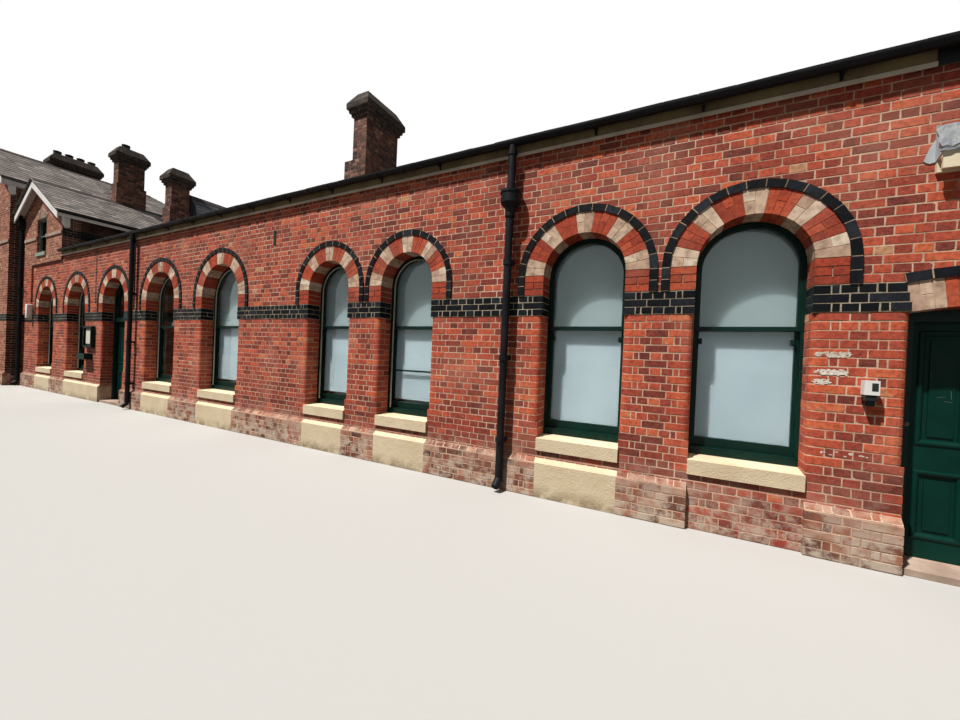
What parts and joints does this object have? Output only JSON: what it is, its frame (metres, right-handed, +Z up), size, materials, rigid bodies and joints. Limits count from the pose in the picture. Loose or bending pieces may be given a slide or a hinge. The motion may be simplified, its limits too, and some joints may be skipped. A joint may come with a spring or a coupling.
{
  "type": "railway station building",
  "caption": "Long brick railway station range with striped round-headed arches, black band, gabled house bay, projecting wing, slate roofs and chimneys.",
  "frame": {"origin": "ground level in the middle of the range's footprint, on the underside of its floor", "axes": "+X along the platform towards the end door, +Y from the platform front to the back, +Z up"},
  "size_m": [26.31, 6.83, 8.58],
  "materials": {
    "brick": "rough fired brick in pale mortar",
    "red_brick": "smooth red arch brick",
    "cream_brick": "buff arch brick",
    "black_brick": "black glazed brick",
    "sooty_brick": "weathered sooty brick",
    "plinth_stone": "weathered plinth brick and stone",
    "cream_paint": "cream masonry paint",
    "cream_timber": "cream gloss paint, weathered",
    "white_timber": "white paint",
    "dressed_stone": "dressed stone",
    "stone_floor": "stone slabs",
    "green_paint": "dark green gloss paint",
    "door_green": "dark green gloss paint",
    "glass": "window glass",
    "white_board": "white board",
    "slate": "weathered slate",
    "dark_slate": "dark slate",
    "ridge_clay": "clay ridge tile",
    "clay_pot": "sooty clay pot",
    "black_iron": "black painted cast iron",
    "grey_metal": "grey painted metal"
  },
  "bodies": {
    "root": {"floor": "stone_floor", "front_wall": "brick", "front_wall_left": "brick", "front_wall_end_pier": "brick", "wall_over_end_door": "brick", "wall_over_platform_door": "brick", "rear_wall": "brick", "end_wall": "brick", "house_side_wall": "brick", "house_front_wall": "brick", "wing_front_wall": "brick", "wing_side_walls": "brick", "black_band": "black_brick", "arch_cream_voussoirs": "cream_brick", "arch_red_voussoirs": "red_brick", "arch_black_labels": "black_brick", "pier_plinths": "plinth_stone", "cream_plinths": "cream_paint", "window_sills": "cream_paint", "window_frames": "green_paint", "window_sashes": "green_paint", "window_glass": "glass", "window_blinds": "white_board", "stone_dressings": "dressed_stone", "end_door_frame": "green_paint", "platform_door_frame": "green_paint", "platform_door_fanlight": "glass", "door_thresholds": "dressed_stone", "door_hood": "cream_timber", "range_roof": "slate", "house_roof": "slate", "wing_roof": "slate", "hall_roof": "dark_slate", "hall_gablet": "dark_slate", "ridge_tiles": "ridge_clay", "eaves_fascia": "cream_timber", "gutters": "black_iron", "gutter_brackets": "black_iron", "downpipes": "black_iron", "bargeboards": "white_timber", "range_chimneys": "sooty_brick", "house_chimney": "sooty_brick", "wing_chimney": "sooty_brick", "chimney_heads": "sooty_brick", "chimney_feet": "sooty_brick", "chimney_pots": "clay_pot", "wall_light": "grey_metal", "notice_case": "door_green"},
    "end_door": {"end_door_leaf": "door_green", "end_door_handle": "black_iron"},
    "platform_door": {"platform_door_leaf": "door_green", "platform_door_handle": "black_iron"}
  },
  "joints": [
    {"name": "end_door_hinge", "type": "hinge", "parent": "root", "child": "end_door", "pos_m": [11.466, -2.662, 1], "axis": [0, 0, 1], "range_deg": [0, 95]},
    {"name": "platform_door_hinge", "type": "hinge", "parent": "root", "child": "platform_door", "pos_m": [-2.964, -2.662, 1], "axis": [0, 0, 1], "range_deg": [0, 95]}
  ]
}
